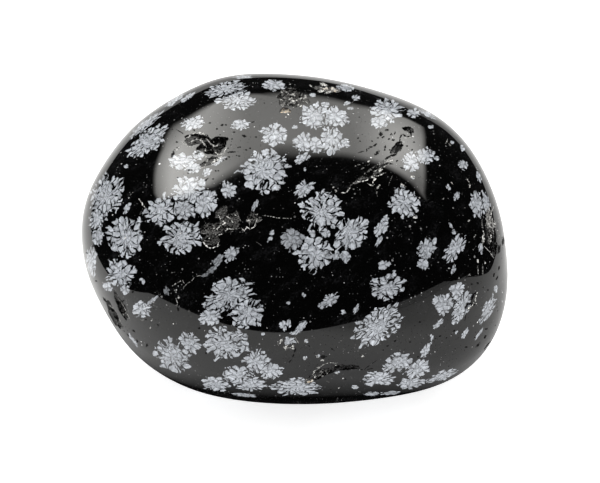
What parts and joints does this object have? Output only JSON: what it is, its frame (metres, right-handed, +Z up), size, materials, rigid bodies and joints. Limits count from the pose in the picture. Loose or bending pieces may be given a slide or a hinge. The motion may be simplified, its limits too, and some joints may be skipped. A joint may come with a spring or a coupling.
{
  "type": "tumbled stone",
  "caption": "Polished tumbled pebble of snowflake obsidian: black volcanic glass with grey snowflake clusters and a few rough pits, resting on a small flat.",
  "frame": {"origin": "middle of the stone's bounding box, at the bottom, on its worn flat", "axes": "+X along the stone's length, +Y across it away from the pictured side, +Z up from the flat"},
  "size_m": [0.04, 0.0328, 0.0238],
  "materials": {
    "obsidian": "polished, opaque black with grey snowflakes"
  },
  "bodies": {
    "root": {"snowflake_obsidian": "obsidian"}
  },
  "joints": []
}
